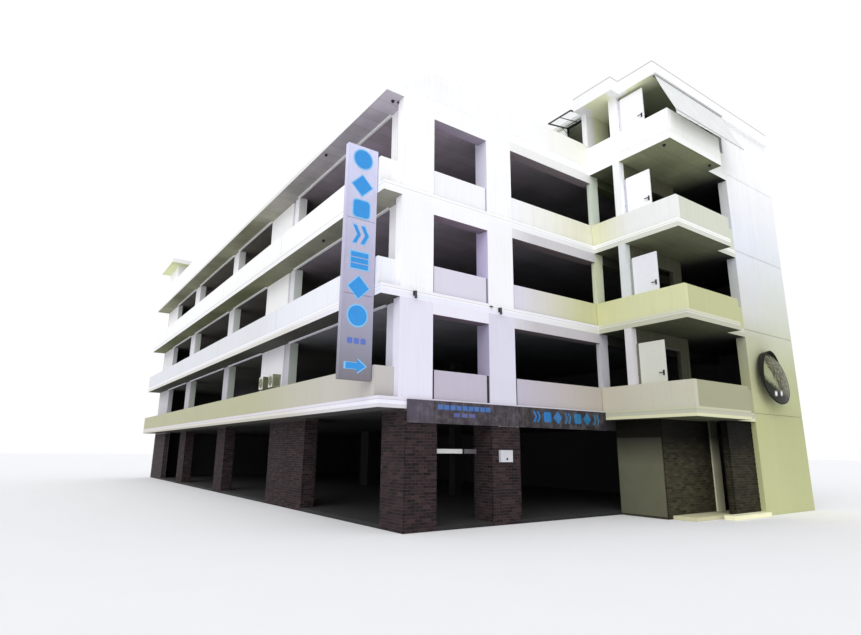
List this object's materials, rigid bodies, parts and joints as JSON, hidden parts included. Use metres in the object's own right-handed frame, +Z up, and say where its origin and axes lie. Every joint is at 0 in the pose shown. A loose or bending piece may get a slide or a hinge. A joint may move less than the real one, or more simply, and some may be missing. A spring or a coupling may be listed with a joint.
{
  "type": "multi storey car park",
  "caption": "Open-sided concrete car park with stacked decks, parapets, brick ground-storey piers, a stair wing with a tall plain wall, and a roof parapet.",
  "frame": {"origin": "ground level, at the street corner of the brick corner pier", "axes": "+X along the street front, +Y back along the side street, +Z up"},
  "size_m": [16.64, 34.5659, 14.25],
  "materials": {
    "ground_concrete": "worn trowelled concrete",
    "deck_concrete": "painted concrete, dirty",
    "bare_concrete": "bare concrete",
    "brick": "dark brick with mortar courses",
    "white_paint": "white masonry paint, streaked",
    "cream_paint": "cream masonry paint, streaked",
    "olive_paint": "olive masonry paint",
    "door_paint": "satin paint",
    "dark_metal": "dark satin paint",
    "window_glass": "clear glass in a dark frame",
    "awning_cloth": "coated woven cloth",
    "rail_metal": "mill finish tube",
    "sign_panel": "satin panel",
    "fascia_panel": "satin panel",
    "bar_paint": "gloss paint",
    "pipe_plastic": "matt",
    "unit_casing": "satin paint",
    "mirror_rim": "matt rim around a convex mirror"
  },
  "bodies": {
    "root": {"ground_slab": "ground_concrete", "parking_decks": "deck_concrete", "roof_deck": "deck_concrete", "landings": "deck_concrete", "brick_piers": "brick", "corner_pier": "white_paint", "front_pier": "white_paint", "edge_beams": "white_paint", "left_columns": "white_paint", "inner_columns": "bare_concrete", "left_infill_panels": "white_paint", "end_wall": "white_paint", "rear_wall": "white_paint", "party_wall": "bare_concrete", "front_parapets": "cream_paint", "left_parapets": "cream_paint", "parapet_ends": "cream_paint", "rear_parapets": "cream_paint", "roof_parapets": "white_paint", "landing_side_parapets": "cream_paint", "landing_front_parapets": "cream_paint", "tall_wall": "white_paint", "inner_pillars": "cream_paint", "stair_pillars": "cream_paint", "stair_piers": "olive_paint", "stair_headers": "olive_paint", "stair_doors": "door_paint", "door_fittings": "dark_metal", "stair_head_walls": "white_paint", "stair_head_roof": "white_paint", "window_frame": "dark_metal", "open_sash": "window_glass", "awning": "awning_cloth", "awning_rails": "rail_metal", "rear_stair_walls": "white_paint", "rear_stair_roof": "white_paint", "entrance_walls": "brick", "entrance_panel": "olive_paint", "entrance_post": "olive_paint", "entrance_step": "bare_concrete", "sign_board": "sign_panel", "sign_brackets": "dark_metal", "fascia_board": "fascia_panel", "height_bar": "bar_paint", "notice_box": "sign_panel", "downpipes": "pipe_plastic", "cooling_units": "unit_casing", "traffic_mirror": "mirror_rim", "wall_lamps": "dark_metal"}
  },
  "joints": []
}
